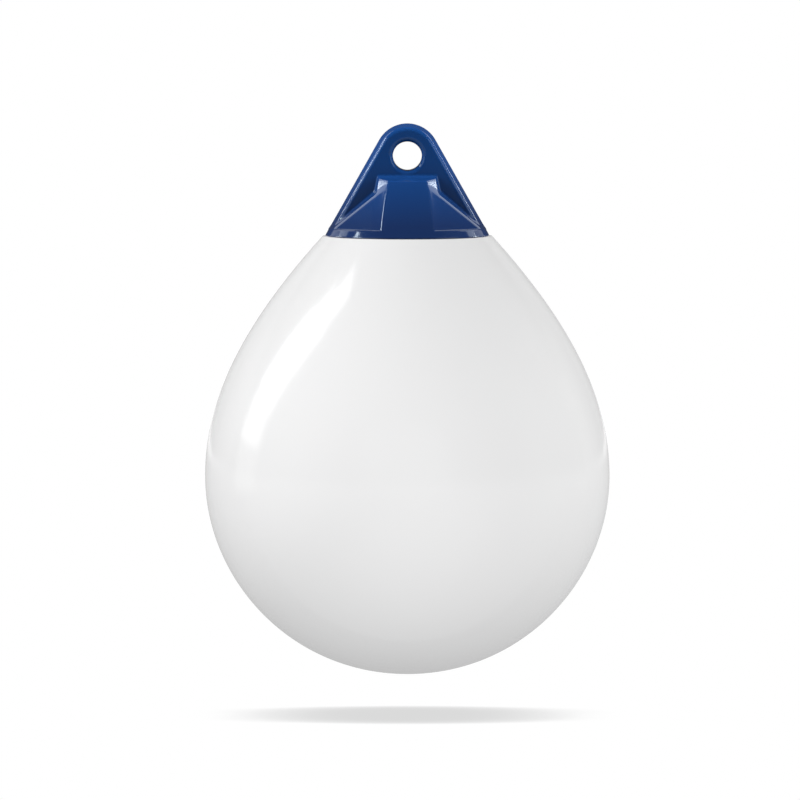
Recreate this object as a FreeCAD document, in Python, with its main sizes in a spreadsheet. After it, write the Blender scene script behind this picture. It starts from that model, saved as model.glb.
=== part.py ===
import FreeCAD, Part
import math
import os

import Sketcher

# Ball fender: an inflated teardrop ball of soft white vinyl that hangs from a moulded
# blue head with a rope eye. Millimetres and degrees. The origin is the centre of the rope
# eye, +Z is up along the fender's axis, the eye's bore runs along Y and the valve faces +Y.

SIZES = {
    # Ball
    "ball_diameter": 280.0,
    "bowl_depth": 137.5,
    "bowl_fullness": 0.52,
    "foot_fullness": 0.58,
    "flank_rise": 166.0,
    "shoulder_reach": 57.5,
    "neck_reach": 75.0,
    "neck_slope": 42.0,
    "skin_thickness": 2.6,
    # Seam between the ball and its head
    "head_foot_radius": 56.9,
    "neck_lip": 1.6,
    "seat_width": 8.5,
    "crown_rise": 18.0,
    # Rope eye and the flat web round it
    "eye_radius": 10.0,
    "eye_rim_round": 3.0,
    "eye_wall": 12.3,
    "head_slope": 29.5,
    "web_thickness": 26.0,
    "web_draft": 12.0,
    "web_land": 1.0,
    "web_edge_round": 2.5,
    "web_inset": 0.35,
    "web_foot": 4.0,
    "web_keel": 7.4,
    # Planes of the head: how far the normal turns from the flank towards the front, how far
    # it leans up from level, and how far the plane lies from the eye's centre
    "ledge_turn": 6.0,
    "ledge_lean": 49.5,
    "ledge_distance": -3.3,
    "facet_turn": 46.0,
    "facet_lean": 27.25,
    "facet_distance": 20.35,
    "wall_turn": 3.0,
    "wall_lean": 11.6,
    "wall_distance": 17.33,
    "bevel_turn": 35.0,
    "bevel_lean": 23.5,
    "bevel_distance": 20.5,
    # Central column and the rim band under the facets
    "column_gap": 2.3,
    "column_top_draft": 7.0,
    "column_round": 2.0,
    "core_cover": 6.0,
    "rim_band": 5.4,
    "root_round": 1.2,
    # Inflation valve in the back of the column
    "valve_rise": 20.3,
    "valve_recess": 0.6,
    "valve_clearance": 0.3,
    "plug_head_radius": 8.8,
    "plug_head_thickness": 4.0,
    "plug_head_round": 0.6,
    "plug_shank_radius": 5.0,
    "plug_shank_length": 13.0,
    "slot_width": 2.2,
    "slot_depth": 2.4,
    "seal_radius": 7.6,
    "seal_thickness": 1.6,
    "flange_radius": 9.6,
    "flange_thickness": 2.0,
    "barrel_radius": 7.2,
    "barrel_length": 17.5,
}

# Worked out from the sizes above.
DERIVED = {
    "ball_radius": "=Sizes.ball_diameter / 2",
    "eye_outer": "=Sizes.eye_radius + Sizes.eye_wall",
    "seam_radius": "=Sizes.head_foot_radius + Sizes.neck_lip",
    "seam_z": "=(eye_outer - Sizes.head_foot_radius * cos(Sizes.head_slope)) / sin(Sizes.head_slope)",
    "belly_z": "=seam_z - Sizes.flank_rise",
    "bottom_z": "=belly_z - Sizes.bowl_depth",
    "seat_inner": "=seam_radius - Sizes.seat_width",
    "crown_z": "=seam_z + Sizes.crown_rise",
    "crown_radius": "=(seat_inner ^ 2 + Sizes.crown_rise ^ 2) / (2 * Sizes.crown_rise)",
    "crown_centre_z": "=crown_z - crown_radius",
    "web_half": "=Sizes.web_thickness / 2",
    "web_foot_z": "=seam_z + Sizes.web_foot",
    "web_foot_x": "=Sizes.head_foot_radius - Sizes.web_foot * tan(Sizes.head_slope) - Sizes.web_inset",
    "web_keel_z": "=crown_z + Sizes.web_keel",
    "column_top_z": "=-(Sizes.eye_radius + Sizes.column_gap)",
    "column_top_lean": "=90 - Sizes.column_top_draft",
    "column_top_distance": "=column_top_z * cos(Sizes.column_top_draft)",
    "core_top_z": "=column_top_z - Sizes.core_cover",
    "rim_top_z": "=seam_z + Sizes.rim_band",
    "tool_reach": "=seam_radius * 4",
    "valve_y": "=Sizes.head_foot_radius - Sizes.valve_rise * tan(Sizes.head_slope)",
    "valve_z": "=seam_z + Sizes.valve_rise",
    "plug_top": "=-Sizes.valve_recess",
    "seal_top": "=plug_top - Sizes.plug_head_thickness",
    "flange_top": "=seal_top - Sizes.seal_thickness",
    "flange_foot": "=flange_top - Sizes.flange_thickness",
    "barrel_foot": "=flange_foot - Sizes.barrel_length",
    "shank_foot": "=seal_top - Sizes.plug_shank_length",
    "valve_bore": "=Sizes.plug_shank_radius + Sizes.valve_clearance",
    "valve_pocket": "=Sizes.flange_radius + Sizes.valve_clearance",
}

# Copies of a head plane, each as its face (-1 front, 1 back) and its flank (-1 left, 1 right).
QUARTERS = ((-1, -1), (-1, 1), (1, -1), (1, 1))
FACES = ((-1, 0), (1, 0))
LEVEL = ((1, 0),)

LEDGE = ("Ledge", QUARTERS, "Sizes.ledge_turn", "Sizes.ledge_lean", "Sizes.ledge_distance")
FACET = ("Facet", QUARTERS, "Sizes.facet_turn", "Sizes.facet_lean", "Sizes.facet_distance")
WALL = ("Wall", QUARTERS, "Sizes.wall_turn", "Sizes.wall_lean", "Sizes.wall_distance")
BEVEL = ("Bevel", QUARTERS, "Sizes.bevel_turn", "Sizes.bevel_lean", "Sizes.bevel_distance")
TOP = ("Top", FACES, "90", "Derived.column_top_lean", "Derived.column_top_distance")
CORE_TOP = ("CoreTop", LEVEL, "90", "90", "Derived.core_top_z")
RIM_TOP = ("RimTop", LEVEL, "90", "90", "Derived.rim_top_z")

TOUCH = 0.001

doc = FreeCAD.newDocument("BallFender")


def fill_sheet(name, cells):
    """Make a sheet with one named cell for each entry."""
    sheet = doc.addObject("Spreadsheet::Sheet", name)
    for row, (alias, content) in enumerate(cells.items(), start=1):
        sheet.set(f"A{row}", alias)
        sheet.set(f"B{row}", str(content))
        sheet.setAlias(f"B{row}", alias)
    doc.recompute()
    return sheet


sizes = fill_sheet("Sizes", SIZES)
derived = fill_sheet("Derived", DERIVED)


def bind(item, **expressions):
    """Tie properties of an object to sheet expressions."""
    for name, expression in expressions.items():
        item.setExpression(name, expression)


def origin_plane(body, role):
    """One of a body's own origin planes."""
    return next(item for item in body.Origin.OriginFeatures if item.Role == role)


def new_sketch(body, name):
    """A sketch on a body's upright plane: across is X, up is Z and its normal is -Y."""
    sketch = body.newObject("Sketcher::SketchObject", name)
    sketch.AttachmentSupport = [(origin_plane(body, "XZ_Plane"), "")]
    sketch.MapMode = "FlatFace"
    return sketch


def at(sketch, across, up):
    """The point that two sheet expressions give now."""
    return FreeCAD.Vector(sketch.evalExpression(across), sketch.evalExpression(up), 0)


def hold(sketch, kind, expression, *places):
    """Add a dimension to a sketch and tie it to a sheet expression."""
    value = float(sketch.evalExpression(expression))
    index = sketch.addConstraint(Sketcher.Constraint(kind, *places, value))
    sketch.renameConstraint(index, f"{kind}{index}")
    sketch.setExpression(f"Constraints.{kind}{index}", expression)


def pin(sketch, geometry, end, across, up):
    """Hold one point of a sketch at two sheet expressions."""
    hold(sketch, "DistanceX", across, -1, 1, geometry, end)
    hold(sketch, "DistanceY", up, -1, 1, geometry, end)


def join(sketch, geometry, end, other, other_end):
    """Let two ends of a sketch meet."""
    sketch.addConstraint(Sketcher.Constraint("Coincident", geometry, end, other, other_end))


def draw_lines(sketch, corners, closed=True):
    """Straight edges through corners that are held by their expressions."""
    points = [at(sketch, *corner) for corner in corners]
    if closed:
        points.append(points[0])
    first = sketch.GeometryCount
    for index, corner in enumerate(corners[:len(points) - 1]):
        line = sketch.addGeometry(Part.LineSegment(points[index], points[index + 1]), False)
        pin(sketch, line, 1, *corner)
        if index:
            join(sketch, line - 1, 2, line, 1)
    if closed:
        join(sketch, line, 2, first, 1)
    else:
        pin(sketch, line, 2, *corners[-1])


def draw_spline(sketch, poles):
    """A cubic curve whose four poles are held by their expressions."""
    curve = Part.BezierCurve()
    curve.setPoles([at(sketch, *pole) for pole in poles])
    spline = sketch.addGeometry(curve.toBSpline(), False)
    sketch.exposeInternalGeometry(spline)
    for index, pole in enumerate(poles, start=1):
        pin(sketch, spline + index, 3, *pole)


def crown_foot(inset):
    """Where the crown meets its seat, on the outside or on an inner surface that follows it."""
    level = f"(Derived.seam_z - {inset})"
    drop = f"({level} - Derived.crown_centre_z)"
    return f"sqrt((Derived.crown_radius - {inset}) ^ 2 - {drop} ^ 2)", level


def draw_crown(sketch, inset):
    """The arc of the ball's crown, from the inner edge of its seat to the axis."""
    centre = at(sketch, "0", "Derived.crown_centre_z")
    edge = at(sketch, *crown_foot(inset)) - centre
    circle = Part.Circle(centre, FreeCAD.Vector(0, 0, 1), edge.Length)
    arc = sketch.addGeometry(Part.ArcOfCircle(circle, math.atan2(edge.y, edge.x), math.pi / 2), False)
    pin(sketch, arc, 3, "0", "Derived.crown_centre_z")
    pin(sketch, arc, 1, *crown_foot(inset))
    sketch.addConstraint(Sketcher.Constraint("PointOnObject", arc, 2, -2))


def circle_at_origin(sketch, radius):
    """A circle round the eye's centre."""
    size = sketch.evalExpression(radius)
    circle = Part.Circle(FreeCAD.Vector(0, 0, 0), FreeCAD.Vector(0, 0, 1), size)
    geometry = sketch.addGeometry(circle, False)
    join(sketch, geometry, 3, -1, 1)
    hold(sketch, "Radius", radius, geometry)


def turn(body, sketch):
    """Turn a sketch round the upright axis."""
    turned = body.newObject("PartDesign::Revolution", f"{body.Name}Turned")
    turned.Profile = sketch
    turned.ReferenceAxis = (sketch, ["V_Axis"])
    turned.Angle = 360
    return turned


def through(body, sketch, kind, length):
    """Pad or pocket a sketch by the same length to the front and back."""
    feature = body.newObject(f"PartDesign::{kind}", f"{sketch.Name}{kind}")
    feature.Profile = sketch
    feature.SideType = "Symmetric"
    bind(feature, Length=length)
    doc.recompute()
    if feature.BaseFeature and feature.Shape.Volume >= feature.BaseFeature.Shape.Volume:
        raise RuntimeError(f"{feature.Name} cut nothing")
    return feature


def combine(kind, name, base, tool):
    """Cut one object with another."""
    item = doc.addObject(f"Part::{kind}", name)
    item.Base = base
    item.Tool = tool
    item.Refine = True
    return item


def edge_names(shape, test):
    """The names of the edges whose two ends and middle all pass a test."""
    names = []
    for index, edge in enumerate(shape.Edges, start=1):
        middle = edge.valueAt((edge.FirstParameter + edge.LastParameter) / 2)
        ends = [vertex.Point for vertex in edge.Vertexes]
        if all(test(point) for point in (middle, *ends)):
            names.append(f"Edge{index}")
    return names


def round_body_edges(body, name, feature, names, radius):
    """Round edges of a body's last feature."""
    fillet = body.newObject("PartDesign::Fillet", name)
    fillet.Base = (feature, names)
    bind(fillet, Radius=radius)
    doc.recompute()
    return fillet


def round_edges(name, base, test, radius):
    """Round the edges of an object that pass a test."""
    doc.recompute()
    fillet = doc.addObject("Part::Fillet", name)
    fillet.Base = base
    fillet.Edges = [(int(edge[4:]), radius, radius) for edge in edge_names(base.Shape, test)]
    return fillet


def half_space(name, face, flank, turn_angle, lean, distance):
    """A block that takes away all that lies outside one plane of the head."""
    block = doc.addObject("Part::Box", name)
    reach = "Derived.tool_reach"
    yaw = f"({face} * (90 - {flank} * (90 - {turn_angle})))"
    forward = f"({distance} * cos({lean}) + {reach} / 2 * sin({lean}))"
    bind(block, Length=reach, Width=reach, Height=reach)
    bind(block, **{
        "Placement.Rotation.Yaw": yaw,
        "Placement.Rotation.Pitch": f"-({lean})",
        "Placement.Base.x": f"{forward} * cos({yaw}) + {reach} / 2 * sin({yaw})",
        "Placement.Base.y": f"{forward} * sin({yaw}) - {reach} / 2 * cos({yaw})",
        "Placement.Base.z": f"{distance} * sin({lean}) - {reach} / 2 * cos({lean})",
    })
    return block


def trim(name, blank, *planes):
    """Cut a blank with each plane and its copies."""
    for kind, copies, turn_angle, lean, distance in planes:
        for index, (face, flank) in enumerate(copies):
            tool = half_space(f"{name}{kind}Tool{index}", face, flank, turn_angle, lean, distance)
            blank = combine("Cut", f"{name}{kind}{index}", blank, tool)
    return blank


def on_plane(plane, point):
    """Whether a point lies on a head plane or on one of its copies."""
    turn_angle, lean, distance = (doc.Sizes.evalExpression(text) for text in plane[2:])
    out = math.cos(math.radians(lean))
    reach = abs(point.x) * out * math.cos(math.radians(turn_angle))
    reach += abs(point.y) * out * math.sin(math.radians(turn_angle))
    reach += point.z * math.sin(math.radians(lean))
    return abs(reach - distance) < TOUCH


def on_web_face(point):
    """Whether a point lies on one of the web's two flat faces."""
    return abs(abs(point.y) - derived.web_half) < TOUCH


def on_cone(point):
    """Whether a point lies on the cone of the head's outside, above the seam."""
    slope = math.radians(sizes.head_slope)
    reach = math.hypot(point.x, point.y) * math.cos(slope) + point.z * math.sin(slope)
    return abs(reach - derived.eye_outer) < TOUCH


def make_ball(name, inset):
    """A solid teardrop: the ball's outside, or the room inside a skin as thick as the inset."""
    body = doc.addObject("PartDesign::Body", name)
    sketch = new_sketch(body, f"{name}Section")
    radius = f"(Derived.ball_radius - {inset})"
    share = f"(1 - {inset} / Derived.ball_radius)"
    bottom = f"Derived.bottom_z + {inset}"
    seam_z = f"Derived.seam_z - {inset}"
    corner = f"{inset} * (1 - sin(Sizes.neck_slope)) / cos(Sizes.neck_slope)"
    seam_radius = f"(Derived.seam_radius - {corner})"
    draw_spline(sketch, [
        ("0", bottom),
        (f"{radius} * Sizes.foot_fullness", bottom),
        (radius, f"Derived.belly_z - (Sizes.bowl_depth - {inset}) * Sizes.bowl_fullness"),
        (radius, "Derived.belly_z"),
    ])
    draw_spline(sketch, [
        (radius, "Derived.belly_z"),
        (radius, f"Derived.belly_z + Sizes.shoulder_reach * {share}"),
        (f"{seam_radius} + Sizes.neck_reach * {share} * sin(Sizes.neck_slope)",
         f"{seam_z} - Sizes.neck_reach * {share} * cos(Sizes.neck_slope)"),
        (seam_radius, seam_z),
    ])
    draw_lines(sketch, [(seam_radius, seam_z), crown_foot(inset)], closed=False)
    draw_crown(sketch, inset)
    draw_lines(sketch, [("0", f"Derived.crown_z - {inset}"), ("0", bottom)], closed=False)
    turn(body, sketch)
    return body


def make_head_cone():
    """The head's outside below the eye: a cone whose hollow foot fits the ball's crown."""
    body = doc.addObject("PartDesign::Body", "HeadCone")
    sketch = new_sketch(body, "ConeSection")
    draw_lines(sketch, [
        ("Derived.seat_inner", "Derived.seam_z"),
        ("Sizes.head_foot_radius", "Derived.seam_z"),
        ("Derived.eye_outer / cos(Sizes.head_slope)", "0"),
        ("0", "0"),
        ("0", "Derived.crown_z"),
    ], closed=False)
    draw_crown(sketch, "0")
    turn(body, sketch)
    return body


def make_web_outline(body):
    """The web's outline: round the eye, down both flanks and along a keel in the foot."""
    sketch = new_sketch(body, "WebOutline")
    feet = [("-Derived.web_foot_x", "Derived.web_foot_z"), ("Derived.web_foot_x", "Derived.web_foot_z")]
    draw_lines(sketch, [feet[0], ("0", "Derived.web_keel_z"), feet[1]], closed=False)
    radius = derived.eye_outer
    slope = math.radians(sizes.head_slope)
    circle = Part.Circle(FreeCAD.Vector(0, 0, 0), FreeCAD.Vector(0, 0, 1), radius)
    arc = sketch.addGeometry(Part.ArcOfCircle(circle, slope, math.pi - slope), False)
    join(sketch, arc, 3, -1, 1)
    hold(sketch, "Radius", "Derived.eye_outer", arc)
    for foot, keel_line, keel_end, arc_end, side in ((feet[0], 0, 1, 2, -1), (feet[1], 1, 2, 1, 1)):
        touch = FreeCAD.Vector(side * radius * math.cos(slope), radius * math.sin(slope), 0)
        flank = sketch.addGeometry(Part.LineSegment(at(sketch, *foot), touch), False)
        join(sketch, flank, 1, keel_line, keel_end)
        sketch.addConstraint(Sketcher.Constraint("Tangent", flank, 2, arc, arc_end))
    return sketch


def outer_edges(shape):
    """The edges round the web's two faces, apart from the keel's, which the foot buries."""
    names = edge_names(shape, on_web_face)
    return [name for name in names if shape.getElement(name).BoundBox.ZMax > derived.web_keel_z + TOUCH]


def make_head_web():
    """The flat plate round the eye, thinning from its middle to rounded edges on both faces."""
    body = doc.addObject("PartDesign::Body", "HeadWeb")
    plate = through(body, make_web_outline(body), "Pad", "Sizes.web_thickness")
    taper = body.newObject("PartDesign::Chamfer", "WebTaper")
    taper.Base = (plate, outer_edges(plate.Shape))
    taper.ChamferType = "Distance and Angle"
    bind(taper, Size="Derived.web_half - Sizes.web_land / 2", Angle="Sizes.web_draft")
    doc.recompute()
    round_body_edges(body, "WebRound", taper, outer_edges(taper.Shape), "Sizes.web_edge_round")
    sketch = new_sketch(body, "EyeCircle")
    circle_at_origin(sketch, "Sizes.eye_radius")
    eye = through(body, sketch, "Pocket", "Sizes.web_thickness * 2")

    def on_rim(point):
        return on_web_face(point) and math.hypot(point.x, point.z) < sizes.eye_radius + TOUCH

    round_body_edges(body, "EyeRims", eye, edge_names(eye.Shape, on_rim), "Sizes.eye_rim_round")
    return body


def make_head_blank():
    """The moulded head: core, rim band, central column and web, blended where they meet."""
    cone = make_head_cone()
    core = trim("Core", cone, CORE_TOP, LEDGE, FACET)
    rim = trim("Rim", cone, RIM_TOP)
    column = trim("Column", cone, TOP, WALL, BEVEL)

    def crest_edge(point):
        return on_plane(TOP, point) and on_cone(point)

    column = round_edges("ColumnRound", column, crest_edge, sizes.column_round)
    head = doc.addObject("Part::MultiFuse", "HeadFused")
    head.Shapes = [core, rim, column, make_head_web()]
    head.Refine = True

    def root_edge(point):
        return on_web_face(point) and any(on_plane(plane, point) for plane in (LEDGE, WALL, TOP))

    return round_edges("HeadRounded", head, root_edge, sizes.root_round)


def place_valve(body):
    """Stand a body on the back of the head, square to its slope, with the valve's axis up."""
    bind(body, **{
        "Placement.Base.y": "Derived.valve_y",
        "Placement.Base.z": "Derived.valve_z",
        "Placement.Rotation.Roll": "Sizes.head_slope - 90",
    })


def make_valve_turning(name, corners):
    """A turned valve piece, its section given from the valve's axis and the head's surface."""
    body = doc.addObject("PartDesign::Body", name)
    sketch = new_sketch(body, f"{name}Section")
    draw_lines(sketch, corners)
    turn(body, sketch)
    place_valve(body)
    return body


def make_valve_pocket():
    """The room for the valve: a counterbore for its head and a hole into the ball."""
    clear = "Sizes.flange_radius"
    return make_valve_turning("ValvePocket", [
        ("0", clear),
        ("Derived.valve_pocket", clear),
        ("Derived.valve_pocket", "Derived.flange_foot"),
        ("Sizes.barrel_radius", "Derived.flange_foot"),
        ("Sizes.barrel_radius", f"Derived.barrel_foot - {clear}"),
        ("0", f"Derived.barrel_foot - {clear}"),
    ])


def make_valve_seat():
    """The hard bush that is moulded into the head and reaches through the ball's crown."""
    return make_valve_turning("ValveSeat", [
        ("Derived.valve_bore", "Derived.flange_top"),
        ("Sizes.flange_radius", "Derived.flange_top"),
        ("Sizes.flange_radius", "Derived.flange_foot"),
        ("Sizes.barrel_radius", "Derived.flange_foot"),
        ("Sizes.barrel_radius", "Derived.barrel_foot"),
        ("Derived.valve_bore", "Derived.barrel_foot"),
    ])


def make_valve_seal():
    """The rubber ring that the plug presses on the seat."""
    return make_valve_turning("ValveSeal", [
        ("Derived.valve_bore", "Derived.seal_top"),
        ("Sizes.seal_radius", "Derived.seal_top"),
        ("Sizes.seal_radius", "Derived.flange_top"),
        ("Derived.valve_bore", "Derived.flange_top"),
    ])


def make_valve_plug():
    """The screw plug, closed, with a slot for a coin across its head."""
    body = make_valve_turning("ValvePlug", [
        ("0", "Derived.plug_top"),
        ("Sizes.plug_head_radius", "Derived.plug_top"),
        ("Sizes.plug_head_radius", "Derived.seal_top"),
        ("Sizes.plug_shank_radius", "Derived.seal_top"),
        ("Sizes.plug_shank_radius", "Derived.shank_foot"),
        ("0", "Derived.shank_foot"),
    ])
    doc.recompute()

    def on_rim(point):
        out = math.hypot(point.x, point.y) > sizes.plug_head_radius - TOUCH
        return out and point.z > derived.plug_top - TOUCH

    rim = edge_names(body.Tip.Shape, on_rim)
    round_body_edges(body, "PlugHeadRound", body.Tip, rim, "Sizes.plug_head_round")
    sketch = new_sketch(body, "SlotSection")
    floor = "Derived.plug_top - Sizes.slot_depth"
    draw_lines(sketch, [
        ("-Sizes.slot_width / 2", floor),
        ("Sizes.slot_width / 2", floor),
        ("Sizes.slot_width / 2", "Sizes.slot_depth"),
        ("-Sizes.slot_width / 2", "Sizes.slot_depth"),
    ])
    through(body, sketch, "Pocket", "Sizes.plug_head_radius * 4")
    return body


def build():
    """All the sub-parts, by name."""
    pocket = make_valve_pocket()
    room = make_ball("BallRoom", "Sizes.skin_thickness")
    skin = combine("Cut", "BallSkin", make_ball("BallOutside", "0"), room)
    return {
        "ball_shell": combine("Cut", "BallShell", skin, pocket),
        "rope_eye_head": combine("Cut", "RopeEyeHead", make_head_blank(), pocket),
        "valve_seat": make_valve_seat(),
        "valve_seal": make_valve_seal(),
        "valve_plug": make_valve_plug(),
    }


def check(parts):
    """Stop if anything in the document failed or a sub-part isn't one sound solid."""
    for item in doc.Objects:
        if "Invalid" in item.State or "Error" in item.State:
            raise RuntimeError(f"{item.Name} failed: {item.getStatusString()}")
    for name, item in parts.items():
        if item.Shape.isNull() or not item.Shape.isValid() or len(item.Shape.Solids) != 1:
            raise RuntimeError(f"{name} isn't one sound solid")


def export(parts):
    """Write each sub-part to its own file."""
    os.makedirs("parts", exist_ok=True)
    for name, item in parts.items():
        item.Label = name
        item.Shape.exportStep(f"parts/{name}.step")
        print(name, round(item.Shape.Volume), "mm3")


sub_parts = build()
doc.recompute()
check(sub_parts)
export(sub_parts)
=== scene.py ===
import math

import bpy
import numpy as np
from mathutils import Matrix, Vector


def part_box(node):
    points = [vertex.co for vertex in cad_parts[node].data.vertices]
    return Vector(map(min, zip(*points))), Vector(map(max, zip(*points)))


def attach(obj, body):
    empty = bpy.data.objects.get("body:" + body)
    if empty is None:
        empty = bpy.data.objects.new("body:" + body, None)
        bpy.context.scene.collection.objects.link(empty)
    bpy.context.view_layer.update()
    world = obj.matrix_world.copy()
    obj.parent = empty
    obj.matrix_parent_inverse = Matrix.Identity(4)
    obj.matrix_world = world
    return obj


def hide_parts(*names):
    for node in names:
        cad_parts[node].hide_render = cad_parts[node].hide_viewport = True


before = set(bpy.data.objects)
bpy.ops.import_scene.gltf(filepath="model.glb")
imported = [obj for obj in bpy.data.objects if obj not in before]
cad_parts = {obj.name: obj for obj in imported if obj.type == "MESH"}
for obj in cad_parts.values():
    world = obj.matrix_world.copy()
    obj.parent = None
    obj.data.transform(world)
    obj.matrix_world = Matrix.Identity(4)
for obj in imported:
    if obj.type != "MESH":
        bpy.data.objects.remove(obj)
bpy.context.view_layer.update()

MM = 0.001

# The ball's outline, as in the solid it stands for
BALL_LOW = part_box("ball_shell")[0]
BALL_RADIUS = 140 * MM
BOWL_DEPTH = 137.5 * MM
BOWL_FULLNESS = 0.52
FOOT_FULLNESS = 0.58
SHOULDER_REACH = 57.5 * MM
NECK_REACH = 75 * MM
NECK_SLOPE = math.radians(42)
SEAM_RADIUS = 58.5 * MM
HEAD_FOOT_RADIUS = 56.9 * MM
SEAT_INNER = 50 * MM
CROWN_RISE = 18 * MM
LIP_ROUND = 0.6 * MM

# The ball's mesh: segments round the axis, points along a curve for each ring, and the weld at seams
BALL_SEGMENTS = 288
CURVE_FINENESS = 8
WELD = 0.001 * MM

# The head's sizes and rounds. A plane is its turn from the flank and its lean upwards, both in degrees,
# and its distance from the eye's centre. A bevel falls back with the square of the height from its middle.
EYE_RADIUS = 10 * MM
EYE_RIM_ROUND = 3 * MM
EYE_OUTER = 22.3 * MM
HEAD_SLOPE = math.radians(29.5)
WEB_HALF = 13 * MM
WEB_DRAFT = math.radians(12)
WEB_LAND = 0.5 * MM
WEB_EDGE_ROUND = 2.5 * MM
WEB_FOOT = 4 * MM
RIM_BAND = 5.4 * MM
LEDGE = (6, 49.5, -3.3 * MM)
FACET = (46, 27.25, 20.35 * MM)
WALL = (3, 11.6, 17.33 * MM)
BEVEL = (35, 23.5, 20.5 * MM)
BEVEL_MIDDLE = -28 * MM
BEVEL_BOW = 1.5
COLUMN_TOP = (90, 83, -12.21 * MM)
CORE_TOP = -18.3 * MM
CREST_ROUND = 1.6 * MM
FOOT_ROUND = 0.3 * MM
COLUMN_ROUND = 0.5 * MM
BEVEL_ROUND = 0.4 * MM
ROOT_ROUND = 1.6 * MM
RIM_ROUND = 0.8 * MM

# The head's mesh: its grid, the rounds that settle its points on the surface, how far beside a point
# the surface's slope is felt for points and for normals, in steps of the grid, and the least slope
HEAD_GRID = 0.7 * MM
SETTLE_ROUNDS = 4
SETTLE_REACH = 0.01
NORMAL_REACH = 0.4
LEAST_SLOPE = 0.1

# The valve's pocket, on the slope of the head's back
VALVE_RISE = 20.3 * MM
VALVE_POCKET = 9.9 * MM
VALVE_DEPTH = 8.2 * MM
POCKET_ROUND = 0.5 * MM

SEAM_Z = (EYE_OUTER - HEAD_FOOT_RADIUS * math.cos(HEAD_SLOPE)) / math.sin(HEAD_SLOPE)
BELLY_Z = BALL_LOW.z + BOWL_DEPTH
CROWN_RADIUS = (SEAT_INNER ** 2 + CROWN_RISE ** 2) / (2 * CROWN_RISE)
CROWN_CENTRE = SEAM_Z + CROWN_RISE - CROWN_RADIUS

# The view: the photograph's field at the ball, and where its axis and foot stand in it
IMAGE_SIDE = 800
PIXEL = 0.692 * MM
AXIS_X = 407.3
FOOT_Y = 674.2
ELEVATION = math.radians(4)
CAMERA_DISTANCE = 4.5
SENSOR_WIDTH = 36
VIEW_END = 50

# The floor, its glow on the fender, and its shadow: the sky's share at a spot and the grey shown there.
# The shadow is shallow from front to back, where its edge falls off by a power of the depth. The sky's
# share is what the fender leaves free of it within a reach, felt by a number of rays.
FLOOR_REACH = 8
FLOOR_GAP = 29.4 * MM
FLOOR_GLOW = 0.53
SHADOW_TONES = ((0.33, 0.70), (0.4, 0.71), (0.465, 0.755), (0.575, 0.865), (0.64, 0.985), (0.69, 1.0))
SHADOW_DEPTH = 0.078
SHADOW_EDGE = 4
SKY_REACH = 2
SKY_SAMPLES = 32

# The world's strength for each kind of ray
WORLD_GLOW = (("camera", 1.0), ("glossy", 0.06), ("other", 0.6))

# Panels round the fender's middle. Each has its lower and upper end as azimuth from the viewer towards
# the left and elevation in degrees, its reach and width in metres, its power in watts, and whether
# gloss mirrors it.
MIDDLE = Vector((0, 0, -0.15))
BALL_PANELS = (
    ("strip_foot", (102, -16), (101, 6), 1.5, 0.46, 0.5, True),
    ("strip_low", (101, 6), (100, 20), 1.5, 0.46, 1.3, True),
    ("strip_high", (100, 20), (94, 40), 1.5, 0.46, 4.0, True),
    ("strip_neck", (93, 40), (88, 49), 1.5, 0.36, 1.4, True),
    ("strip_tip", (87, 49), (83, 58), 1.5, 0.2, 0.8, True),
    ("fill_left", (114, -25), (114, 35), 1.5, 0.46, 2.4, False),
    ("fill_right", (-114, -25), (-114, 35), 1.5, 0.46, 8.5, False),
    ("fill_front", (0, -25), (0, 25), 2.5, 2.0, 27.5, False),
    ("back_wide", (180, -4), (180, 34), 2.5, 8.6, 13, True),
    ("back_near", (180, -4), (180, 34), 2.5, 2.9, 2, True),
)
# Those of the head stand on both sides, apart from the one that makes the light spot on its rim band
HEAD_PANELS = (
    ("head_patch", (118, 19), (118, 29), 1.5, 0.26, 2.1, True),
    ("head_high", (128, 29), (128, 50), 1.5, 0.8, 2.5, True),
    ("head_low", (128, 4), (128, 29), 1.5, 0.8, 1.2, True),
    ("head_front", (60, 4), (60, 38), 1.5, 0.8, 3.5, True),
    ("head_soft", (82, 20), (82, 50), 1.5, 0.6, 38, False),
)
RIM_GLINT = ("rim_glint", (85, 31), (85, 43), 1.5, 0.32, 5, True)

# Looks: the darker and lighter end of the colour, the roughness, the share of gloss and the height of
# the skin's waves in metres. Between two heights, painted shade darkens the colour downwards.
WHITE_VINYL = {"dark": (0.832, 0.832, 0.834), "light": (0.862, 0.862, 0.864),
               "roughness": 0.14, "specular": 0.5, "waviness": 0.0004}
# The blue's painted shade: darker at and below the lower of its two heights, lighter above the upper.
BLUE_VINYL = {"dark": (0.005, 0.0115, 0.042), "light": (0.0035, 0.032, 0.13),
              "roughness": 0.09, "specular": 0.5, "waviness": 0.00008,
              "painted_shade_heights": (-0.047, -0.003), "tint": (0.72, 0.9, 1.0)}
VALVE_PLASTIC = {"dark": (0.02, 0.02, 0.022), "light": (0.03, 0.03, 0.033),
                 "roughness": 0.35, "specular": 0.5, "waviness": 0.0001}
SEAL_RUBBER = {"dark": (0.012, 0.012, 0.012), "light": (0.018, 0.018, 0.018),
               "roughness": 0.75, "specular": 0.3, "waviness": 0.0001}
IOR = 1.5
MOTTLE = {"Scale": 9, "Detail": 4}
WAVES = {"Scale": 16, "Detail": 2}
MOTTLE_SHARE = 0.25
GLOSS_SPREAD = 0.15


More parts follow.
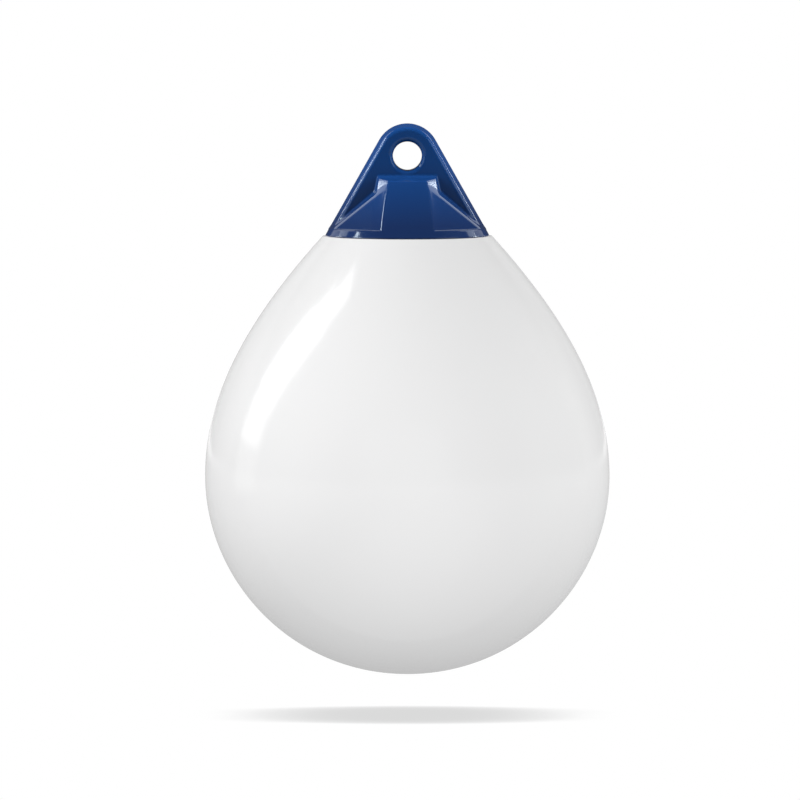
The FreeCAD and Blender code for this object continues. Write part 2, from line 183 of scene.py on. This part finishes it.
def mesh_object(name, points, faces, material):
    """A smooth mesh with its place in its points."""
    mesh = bpy.data.meshes.new(name)
    mesh.vertices.add(len(points))
    mesh.vertices.foreach_set("co", np.asarray(points, np.float32).ravel())
    mesh.loops.add(faces.size)
    mesh.loops.foreach_set("vertex_index", faces.astype(np.int32).ravel())
    mesh.polygons.add(len(faces))
    mesh.polygons.foreach_set("loop_start", np.arange(0, faces.size, faces.shape[1], dtype=np.int32))
    mesh.update(calc_edges=True)
    mesh.shade_smooth()
    mesh.materials.append(material)
    piece = bpy.data.objects.new(name, mesh)
    bpy.context.collection.objects.link(piece)
    return piece


def rounded_meet(radius, *fields):
    """The part that several solids share, its edges rounded. Each field is a signed distance."""
    over = sum(np.maximum(field + radius, 0) ** 2 for field in fields)
    return np.minimum(np.maximum.reduce(fields), -radius) + np.sqrt(over)


def rounded_join(radius, *fields):
    """Several solids as one, their inner corners filled."""
    under = sum(np.maximum(radius - field, 0) ** 2 for field in fields)
    return np.maximum(np.minimum.reduce(fields), radius) - np.sqrt(under)


def plane(x, y, z, turn, lean, distance):
    """Distance outside a plane and its copies: its normal turns from the flank and leans up."""
    turn = math.radians(turn)
    lean = math.radians(lean)
    level = np.abs(x) * math.cos(turn) + np.abs(y) * math.sin(turn)
    return level * math.cos(lean) + z * math.sin(lean) - distance


def web_field(x, y, z):
    """The plate round the eye, with drafted flanks and rounded edges."""
    across = np.abs(x)
    slope = across * math.cos(HEAD_SLOPE) + z * math.sin(HEAD_SLOPE)
    crest = np.hypot(x, z)
    outline = np.where(z > across * math.tan(HEAD_SLOPE), crest, slope) - EYE_OUTER
    draft = np.maximum(np.abs(y) - WEB_LAND, 0) * math.tan(WEB_DRAFT)
    flank = (outline + draft) * math.cos(WEB_DRAFT)
    foot = SEAM_Z + WEB_FOOT - z
    return rounded_meet(WEB_EDGE_ROUND, flank, np.abs(y) - WEB_HALF, foot)


def valve_field(x, y, z):
    """The counterbore for the valve's head."""
    out = math.cos(HEAD_SLOPE)
    up = math.sin(HEAD_SLOPE)
    mouth_y = HEAD_FOOT_RADIUS - VALVE_RISE * math.tan(HEAD_SLOPE)
    mouth_z = SEAM_Z + VALVE_RISE
    along = (y - mouth_y) * out + (z - mouth_z) * up
    aside = (y - mouth_y) * up - (z - mouth_z) * out
    return np.maximum(np.hypot(x, aside) - VALVE_POCKET, -VALVE_DEPTH - along)


def head_field(x, y, z):
    """The whole head."""
    cone = np.hypot(x, y) * math.cos(HEAD_SLOPE) + z * math.sin(HEAD_SLOPE) - EYE_OUTER
    ledge = plane(x, y, z, *LEDGE)
    facet = plane(x, y, z, *FACET)
    core = rounded_meet(CREST_ROUND, ledge, facet, z - CORE_TOP)
    bevel = plane(x, y, z, *BEVEL) + BEVEL_BOW * (z - BEVEL_MIDDLE) ** 2
    side = rounded_meet(BEVEL_ROUND, plane(x, y, z, *WALL), bevel)
    column = rounded_meet(BEVEL_ROUND, side, plane(x, y, z, *COLUMN_TOP))
    rim = z - SEAM_Z - RIM_BAND
    trunk = rounded_join(FOOT_ROUND, rounded_join(ROOT_ROUND, core, column), rim)
    trunk = rounded_meet(COLUMN_ROUND, cone, trunk)
    head = rounded_join(ROOT_ROUND, trunk, web_field(x, y, z))
    head = rounded_meet(RIM_ROUND, head, SEAM_Z - z)
    head = rounded_meet(EYE_RIM_ROUND, head, EYE_RADIUS - np.hypot(x, z))
    head = rounded_meet(POCKET_ROUND, head, -valve_field(x, y, z))
    crown = CROWN_RADIUS - np.sqrt(x ** 2 + y ** 2 + (z - CROWN_CENTRE) ** 2)
    return np.maximum(head, crown)


def slope_of(field, points, nudge):
    """The way and rate that a field rises at each point."""
    slope = np.empty_like(points)
    for axis in range(3):
        beside = points.copy()
        beside[:, axis] += nudge
        before = points.copy()
        before[:, axis] -= nudge
        slope[:, axis] = (field(*beside.T) - field(*before.T)) / (2 * nudge)
    return slope


def surface_of(field, low, high, step):
    """Points, four-cornered faces and normals of a field's zero surface, drawn onto the surface itself."""
    margin = 2 * step
    axes = [np.arange(a - margin, b + margin, step) for a, b in zip(low, high)]
    values = field(*np.meshgrid(*axes, indexing="ij"))
    inside = values < 0
    cells = tuple(side - 1 for side in values.shape)
    total = np.zeros(cells)
    sums = np.zeros(cells + (3,))
    corners = [(i, j, k) for i in (0, 1) for j in (0, 1) for k in (0, 1)]

    def corner(block, offset):
        return block[tuple(slice(o, o + n) for o, n in zip(offset, cells))]

    for first in corners:
        for axis in range(3):
            if first[axis]:
                continue
            second = tuple(1 if index == axis else value for index, value in enumerate(first))
            a = corner(values, first)
            b = corner(values, second)
            crossed = corner(inside, first) != corner(inside, second)
            share = np.where(crossed, a / np.where(crossed, a - b, 1), 0)
            total += crossed
            for index in range(3):
                sums[..., index] += crossed * first[index] + (share if index == axis else 0)
    used = total > 0
    number = np.full(cells, -1)
    number[used] = np.arange(used.sum())
    spots = np.argwhere(used) + sums[used] / total[used][:, None]
    points = np.array([axis[0] for axis in axes]) + spots * step

    faces = []
    for axis in range(3):
        b, c = [index for index in range(3) if index != axis]
        ahead = [slice(None)] * 3
        ahead[axis] = slice(1, None)
        behind = [slice(None)] * 3
        behind[axis] = slice(None, -1)
        leaves = inside[tuple(behind)] & ~inside[tuple(ahead)]
        enters = ~inside[tuple(behind)] & inside[tuple(ahead)]
        for crossing, flipped in ((leaves, axis == 1), (enters, axis != 1)):
            place = np.argwhere(crossing)
            ring = []
            for step_b, step_c in ((0, 0), (-1, 0), (-1, -1), (0, -1)):
                cell = place.copy()
                cell[:, b] += step_b
                cell[:, c] += step_c
                ring.append(number[cell[:, 0], cell[:, 1], cell[:, 2]])
            face = np.stack(ring, axis=1)
            faces.append(face[:, ::-1] if flipped else face)
    faces = np.concatenate(faces)

    for _ in range(SETTLE_ROUNDS):
        slope = slope_of(field, points, step * SETTLE_REACH)
        size = np.maximum((slope ** 2).sum(axis=1), LEAST_SLOPE)
        points -= np.clip(field(*points.T) / size, -step / 2, step / 2)[:, None] * slope
    normals = slope_of(field, points, step * NORMAL_REACH)
    normals /= np.linalg.norm(normals, axis=1)[:, None]
    return points, faces, normals


def ball_sizes():
    """The sizes that the ball's outline is drawn from."""
    crown_spread = math.asin(SEAT_INNER / CROWN_RADIUS)
    crown_handle = 4 / 3 * math.tan(crown_spread / 4) * CROWN_RADIUS
    return {
        "Foot Height": BALL_LOW.z,
        "Foot Handle Reach": BALL_RADIUS * FOOT_FULLNESS,
        "Ball Radius": BALL_RADIUS,
        "Bowl Handle Height": BELLY_Z - BOWL_DEPTH * BOWL_FULLNESS,
        "Belly Height": BELLY_Z,
        "Shoulder Handle Height": BELLY_Z + SHOULDER_REACH,
        "Neck Handle Radius": SEAM_RADIUS + NECK_REACH * math.sin(NECK_SLOPE),
        "Neck Handle Height": SEAM_Z - NECK_REACH * math.cos(NECK_SLOPE),
        "Lip Radius": SEAM_RADIUS + LIP_ROUND * math.sin(NECK_SLOPE),
        "Lip Height": SEAM_Z - LIP_ROUND * math.cos(NECK_SLOPE),
        "Seam Radius": SEAM_RADIUS,
        "Seam Height": SEAM_Z,
        "Seat Outer Radius": SEAM_RADIUS - LIP_ROUND,
        "Seat Inner Radius": SEAT_INNER,
        "Crown Side Radius": SEAT_INNER - crown_handle * math.cos(crown_spread),
        "Crown Side Height": SEAM_Z + crown_handle * math.sin(crown_spread),
        "Crown Handle Reach": crown_handle,
        "Crown Height": SEAM_Z + CROWN_RISE,
    }


# Each stretch of the outline: its rings, then start, two handles and end as reach and height
BALL_STRETCHES = (
    (112, (None, "Foot Height"), ("Foot Handle Reach", "Foot Height"),
     ("Ball Radius", "Bowl Handle Height"), ("Ball Radius", "Belly Height")),
    (104, ("Ball Radius", "Belly Height"), ("Ball Radius", "Shoulder Handle Height"),
     ("Neck Handle Radius", "Neck Handle Height"), ("Lip Radius", "Lip Height")),
    (6, ("Lip Radius", "Lip Height"), ("Seam Radius", "Seam Height"),
     ("Seam Radius", "Seam Height"), ("Seat Outer Radius", "Seam Height")),
    (4, ("Seat Outer Radius", "Seam Height"), ("Seat Outer Radius", "Seam Height"),
     ("Seat Inner Radius", "Seam Height"), ("Seat Inner Radius", "Seam Height")),
    (14, ("Seat Inner Radius", "Seam Height"), ("Crown Side Radius", "Crown Side Height"),
     ("Crown Handle Reach", "Crown Height"), (None, "Crown Height")),
)


def turned_stretch_nodes():
    """A node group that turns one stretch of an outline round the upright axis."""
    tree = bpy.data.node_groups.new("turned_stretch", "GeometryNodeTree")
    for name, kind in (("Outline", "NodeSocketGeometry"), ("Rings", "NodeSocketInt"),
                       ("Segments", "NodeSocketInt")):
        tree.interface.new_socket(name, in_out="INPUT", socket_type=kind)
    tree.interface.new_socket("Skin", in_out="OUTPUT", socket_type="NodeSocketGeometry")
    given = tree.nodes.new("NodeGroupInput")
    columns = tree.nodes.new("ShaderNodeMath")
    columns.inputs[1].default_value = 1
    tree.links.new(given.outputs["Segments"], columns.inputs[0])
    grid = tree.nodes.new("GeometryNodeMeshGrid")
    grid.inputs["Size X"].default_value = 2 * math.pi
    grid.inputs["Size Y"].default_value = 1
    tree.links.new(columns.outputs[0], grid.inputs["Vertices X"])
    tree.links.new(given.outputs["Rings"], grid.inputs["Vertices Y"])
    place = tree.nodes.new("ShaderNodeSeparateXYZ")
    tree.links.new(tree.nodes.new("GeometryNodeInputPosition").outputs[0], place.inputs[0])
    share = tree.nodes.new("ShaderNodeMath")
    share.inputs[1].default_value = 0.5
    tree.links.new(place.outputs["Y"], share.inputs[0])
    sample = tree.nodes.new("GeometryNodeSampleCurve")
    sample.mode = "FACTOR"
    sample.use_all_curves = True
    tree.links.new(given.outputs["Outline"], sample.inputs["Curves"])
    tree.links.new(share.outputs[0], sample.inputs["Factor"])
    turn = tree.nodes.new("ShaderNodeVectorRotate")
    turn.rotation_type = "Z_AXIS"
    tree.links.new(sample.outputs["Position"], turn.inputs["Vector"])
    tree.links.new(place.outputs["X"], turn.inputs["Angle"])
    skin = tree.nodes.new("GeometryNodeSetPosition")
    tree.links.new(grid.outputs["Mesh"], skin.inputs["Geometry"])
    tree.links.new(turn.outputs[0], skin.inputs["Position"])
    result = tree.nodes.new("NodeGroupOutput")
    tree.links.new(skin.outputs[0], result.inputs["Skin"])
    return tree


def ball_nodes(sizes, material):
    """The ball's skin from its named sizes: every stretch turned, and the stretches joined."""
    tree = bpy.data.node_groups.new("ball_skin", "GeometryNodeTree")
    tree.interface.new_socket("Segments", in_out="INPUT", socket_type="NodeSocketInt")
    for name in sizes:
        tree.interface.new_socket(name, in_out="INPUT", socket_type="NodeSocketFloat")
    tree.interface.new_socket("Skin", in_out="OUTPUT", socket_type="NodeSocketGeometry")
    given = tree.nodes.new("NodeGroupInput")
    stretch_nodes = turned_stretch_nodes()
    joined = tree.nodes.new("GeometryNodeJoinGeometry")
    for rings, *corners in BALL_STRETCHES:
        segment = tree.nodes.new("GeometryNodeCurvePrimitiveBezierSegment")
        segment.inputs["Resolution"].default_value = CURVE_FINENESS * rings
        for socket, (reach, height) in zip(("Start", "Start Handle", "End Handle", "End"), corners):
            point = tree.nodes.new("ShaderNodeCombineXYZ")
            if reach:
                tree.links.new(given.outputs[reach], point.inputs["X"])
            tree.links.new(given.outputs[height], point.inputs["Z"])
            tree.links.new(point.outputs[0], segment.inputs[socket])
        turned = tree.nodes.new("GeometryNodeGroup")
        turned.node_tree = stretch_nodes
        turned.inputs["Rings"].default_value = rings
        tree.links.new(given.outputs["Segments"], turned.inputs["Segments"])
        tree.links.new(segment.outputs[0], turned.inputs["Outline"])
        tree.links.new(turned.outputs["Skin"], joined.inputs["Geometry"])
    welded = tree.nodes.new("GeometryNodeMergeByDistance")
    welded.inputs["Distance"].default_value = WELD
    tree.links.new(joined.outputs[0], welded.inputs["Geometry"])
    smooth = tree.nodes.new("GeometryNodeSetShadeSmooth")
    tree.links.new(welded.outputs[0], smooth.inputs["Geometry"])
    whole = tree.nodes.new("GeometryNodeRealizeInstances")
    tree.links.new(smooth.outputs[0], whole.inputs["Geometry"])
    coated = tree.nodes.new("GeometryNodeSetMaterial")
    coated.inputs["Material"].default_value = material
    tree.links.new(whole.outputs[0], coated.inputs["Geometry"])
    result = tree.nodes.new("NodeGroupOutput")
    tree.links.new(coated.outputs[0], result.inputs["Skin"])
    return tree


def make_ball(material):
    """The ball's skin, made by its nodes and kept as a plain mesh."""
    sizes = ball_sizes()
    tree = ball_nodes(sizes, material)
    piece = bpy.data.objects.new("ball", bpy.data.meshes.new("ball"))
    bpy.context.collection.objects.link(piece)
    modifier = piece.modifiers.new("skin", "NODES")
    modifier.node_group = tree
    for socket in tree.interface.items_tree:
        if socket.in_out == "INPUT":
            modifier[socket.identifier] = BALL_SEGMENTS if socket.name == "Segments" else sizes[socket.name]
    evaluated = piece.evaluated_get(bpy.context.evaluated_depsgraph_get())
    skin = bpy.data.meshes.new_from_object(evaluated)
    piece.modifiers.clear()
    piece.data = skin
    return piece


def noise(tree, place, settings):
    """The height of a noise at a place."""
    node = tree.nodes.new("ShaderNodeTexNoise")
    for name, value in settings.items():
        node.inputs[name].default_value = value
    tree.links.new(place, node.inputs["Vector"])
    return node.outputs["Fac"]


def vinyl(name, dark, light, roughness, specular, waviness, painted_shade_heights=None, tint=(1, 1, 1)):
    """Moulded vinyl: a slightly uneven colour and gloss over a faintly wavy skin.

    Between the two heights given, painted shade darkens the colour downwards: lighter above, darker below.
    """
    material = bpy.data.materials.new(name)
    material.use_nodes = True
    tree = material.node_tree
    shader = tree.nodes["Principled BSDF"]
    place = tree.nodes.new("ShaderNodeTexCoord").outputs["Object"]
    mottle = noise(tree, place, MOTTLE)
    shade = mottle
    # Painted shade: the colour darkens from the upper height down to the lower one, mixed with the mottle.
    if painted_shade_heights:
        height = tree.nodes.new("ShaderNodeSeparateXYZ")
        tree.links.new(place, height.inputs[0])
        rise = tree.nodes.new("ShaderNodeMapRange")
        rise.inputs["From Min"].default_value = painted_shade_heights[0]
        rise.inputs["From Max"].default_value = painted_shade_heights[1]
        tree.links.new(height.outputs["Z"], rise.inputs["Value"])
        even = tree.nodes.new("ShaderNodeMix")
        even.inputs["Factor"].default_value = MOTTLE_SHARE
        tree.links.new(rise.outputs["Result"], even.inputs["A"])
        tree.links.new(mottle, even.inputs["B"])
        shade = even.outputs["Result"]
    colour = tree.nodes.new("ShaderNodeMix")
    colour.data_type = "RGBA"
    colour.inputs["A"].default_value = (*dark, 1)
    colour.inputs["B"].default_value = (*light, 1)
    tree.links.new(shade, colour.inputs["Factor"])
    tree.links.new(colour.outputs["Result"], shader.inputs["Base Color"])
    gloss = tree.nodes.new("ShaderNodeMapRange")
    gloss.inputs["To Min"].default_value = roughness * (1 - GLOSS_SPREAD)
    gloss.inputs["To Max"].default_value = roughness * (1 + GLOSS_SPREAD)
    tree.links.new(mottle, gloss.inputs["Value"])
    tree.links.new(gloss.outputs["Result"], shader.inputs["Roughness"])
    shader.inputs["IOR"].default_value = IOR
    shader.inputs["Specular IOR Level"].default_value = specular
    shader.inputs["Specular Tint"].default_value = (*tint, 1)
    bump = tree.nodes.new("ShaderNodeBump")
    bump.inputs["Distance"].default_value = waviness
    bump.inputs["Strength"].default_value = 1
    tree.links.new(noise(tree, place, WAVES), bump.inputs["Height"])
    tree.links.new(bump.outputs["Normal"], shader.inputs["Normal"])
    return material


def direction(azimuth, elevation):
    """Unit vector at an azimuth from the viewer towards the left, and an elevation, in degrees."""
    azimuth = math.radians(azimuth)
    elevation = math.radians(elevation)
    return Vector((-math.sin(azimuth) * math.cos(elevation),
                   -math.cos(azimuth) * math.cos(elevation),
                   math.sin(elevation)))


def add_panel(name, low, high, reach, width, power, glossy, lit):
    """A soft panel at a reach from the fender's middle, its long side between two directions.

    It lights the group of pieces in lit alone, and nothing else shades it.
    """
    foot = MIDDLE + direction(*low) * reach
    top = MIDDLE + direction(*high) * reach
    spot = (foot + top) / 2
    data = bpy.data.lights.new(name, "AREA")
    data.shape = "RECTANGLE"
    data.size = width
    data.size_y = (top - foot).length
    data.energy = power
    up = (top - foot).normalized()
    back = (spot - MIDDLE) - (spot - MIDDLE).dot(up) * up
    back.normalize()
    light = bpy.data.objects.new(name, data)
    light.matrix_world = Matrix((up.cross(back), up, back)).transposed().to_4x4()
    light.location = spot
    light.visible_glossy = glossy
    light.visible_camera = False
    light.light_linking.receiver_collection = lit
    light.light_linking.blocker_collection = lit
    bpy.context.collection.objects.link(light)


def group_of(name, piece):
    """A group for the panels that light one piece alone."""
    group = bpy.data.collections.new(name)
    group.objects.link(piece)
    return group


def make_world():
    """White to the camera, a plain grey studio to everything else."""
    world = bpy.data.worlds.new("studio")
    bpy.context.scene.world = world
    world.use_nodes = True
    tree = world.node_tree
    tree.nodes.clear()
    path = tree.nodes.new("ShaderNodeLightPath")
    shown = {}
    for name, strength in WORLD_GLOW:
        background = tree.nodes.new("ShaderNodeBackground")
        background.inputs["Color"].default_value = (1, 1, 1, 1)
        background.inputs["Strength"].default_value = strength
        shown[name] = background
    gloss = tree.nodes.new("ShaderNodeMixShader")
    tree.links.new(path.outputs["Is Glossy Ray"], gloss.inputs[0])
    tree.links.new(shown["other"].outputs[0], gloss.inputs[1])
    tree.links.new(shown["glossy"].outputs[0], gloss.inputs[2])
    seen = tree.nodes.new("ShaderNodeMixShader")
    tree.links.new(path.outputs["Is Camera Ray"], seen.inputs[0])
    tree.links.new(gloss.outputs[0], seen.inputs[1])
    tree.links.new(shown["camera"].outputs[0], seen.inputs[2])
    output = tree.nodes.new("ShaderNodeOutputWorld")
    tree.links.new(seen.outputs[0], output.inputs["Surface"])


def make_floor():
    """A wide white floor that keeps the ball's shadow: under the ball, where less sky is seen, it greys."""
    level = BALL_LOW.z - FLOOR_GAP
    corners = ((-1, -1), (1, -1), (1, 1), (-1, 1))
    points = np.array([(x * FLOOR_REACH, y * FLOOR_REACH, level) for x, y in corners])
    material = bpy.data.materials.new("floor_white")
    material.use_nodes = True
    tree = material.node_tree
    tree.nodes.clear()
    path = tree.nodes.new("ShaderNodeLightPath")
    plain = tree.nodes.new("ShaderNodeEmission")
    plain.inputs["Strength"].default_value = FLOOR_GLOW
    place = tree.nodes.new("ShaderNodeTexCoord")
    apart = tree.nodes.new("ShaderNodeSeparateXYZ")
    tree.links.new(place.outputs["Object"], apart.inputs[0])
    depth = tree.nodes.new("ShaderNodeMath")
    depth.operation = "MULTIPLY"
    depth.inputs[1].default_value = 1 / SHADOW_DEPTH
    tree.links.new(apart.outputs["Y"], depth.inputs[0])
    fade = tree.nodes.new("ShaderNodeMath")
    fade.operation = "POWER"
    fade.inputs[1].default_value = SHADOW_EDGE
    tree.links.new(depth.outputs[0], fade.inputs[0])
    sky = tree.nodes.new("ShaderNodeAmbientOcclusion")
    sky.inputs["Distance"].default_value = SKY_REACH
    sky.samples = SKY_SAMPLES
    tone = tree.nodes.new("ShaderNodeValToRGB")
    for spot, _ in SHADOW_TONES[1:-1]:
        tone.color_ramp.elements.new(spot)
    for element, (spot, grey) in zip(tone.color_ramp.elements, SHADOW_TONES):
        element.position = spot
        element.color = (grey, grey, grey, 1)
    share = tree.nodes.new("ShaderNodeMath")
    tree.links.new(sky.outputs["AO"], share.inputs[0])
    tree.links.new(fade.outputs[0], share.inputs[1])
    tree.links.new(share.outputs[0], tone.inputs["Fac"])
    shown = tree.nodes.new("ShaderNodeEmission")
    tree.links.new(tone.outputs["Color"], shown.inputs["Color"])
    mix = tree.nodes.new("ShaderNodeMixShader")
    tree.links.new(path.outputs["Is Camera Ray"], mix.inputs[0])
    tree.links.new(plain.outputs[0], mix.inputs[1])
    tree.links.new(shown.outputs[0], mix.inputs[2])
    output = tree.nodes.new("ShaderNodeOutputMaterial")
    tree.links.new(mix.outputs[0], output.inputs["Surface"])
    floor = mesh_object("floor", points, np.array([[0, 1, 2, 3]]), material)


def make_camera():
    """The photograph's long lens, a little above level."""
    data = bpy.data.cameras.new("camera")
    data.sensor_width = SENSOR_WIDTH
    data.lens = data.sensor_width * CAMERA_DISTANCE / (IMAGE_SIDE * PIXEL)
    data.clip_end = VIEW_END
    centre = IMAGE_SIDE / 2
    aim = Vector((-(AXIS_X - centre) * PIXEL, 0, BALL_LOW.z + (FOOT_Y - centre) * PIXEL))
    camera = bpy.data.objects.new("camera", data)
    camera.location = aim + Vector((0, -math.cos(ELEVATION), math.sin(ELEVATION))) * CAMERA_DISTANCE
    camera.rotation_euler = (aim - camera.location).to_track_quat("-Z", "Y").to_euler()
    bpy.context.collection.objects.link(camera)
    bpy.context.scene.camera = camera


def make_lights(ball_group, head_group):
    """Tall leaning panels round the fender: one set for the ball, and a mirrored one for the head."""
    for panel in BALL_PANELS:
        add_panel(*panel, lit=ball_group)
    for name, low, high, *rest in HEAD_PANELS:
        for side in (1, -1):
            add_panel(name, (side * low[0], low[1]), (side * high[0], high[1]), *rest, lit=head_group)
    add_panel(*RIM_GLINT, lit=head_group)


bpy.context.scene.view_settings.view_transform = "Standard"

white_vinyl = vinyl("white_vinyl", **WHITE_VINYL)
blue_vinyl = vinyl("blue_vinyl", **BLUE_VINYL)
valve_plastic = vinyl("valve_plastic", **VALVE_PLASTIC)
seal_rubber = vinyl("seal_rubber", **SEAL_RUBBER)

ball = make_ball(white_vinyl)
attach(ball, "root")
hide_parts("ball_shell")

head_low, head_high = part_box("rope_eye_head")
points, faces, normals = surface_of(head_field, head_low, head_high, HEAD_GRID)
head = mesh_object("head", points, faces, blue_vinyl)
head.data.normals_split_custom_set_from_vertices(normals)
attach(head, "root")
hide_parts("rope_eye_head")

valve_looks = (("valve_seat", valve_plastic), ("valve_seal", seal_rubber), ("valve_plug", valve_plastic))
for node, material in valve_looks:
    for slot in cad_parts[node].material_slots:
        slot.material = material

make_world()
make_floor()
make_lights(group_of("lit_ball", ball), group_of("lit_head", head))
make_camera()
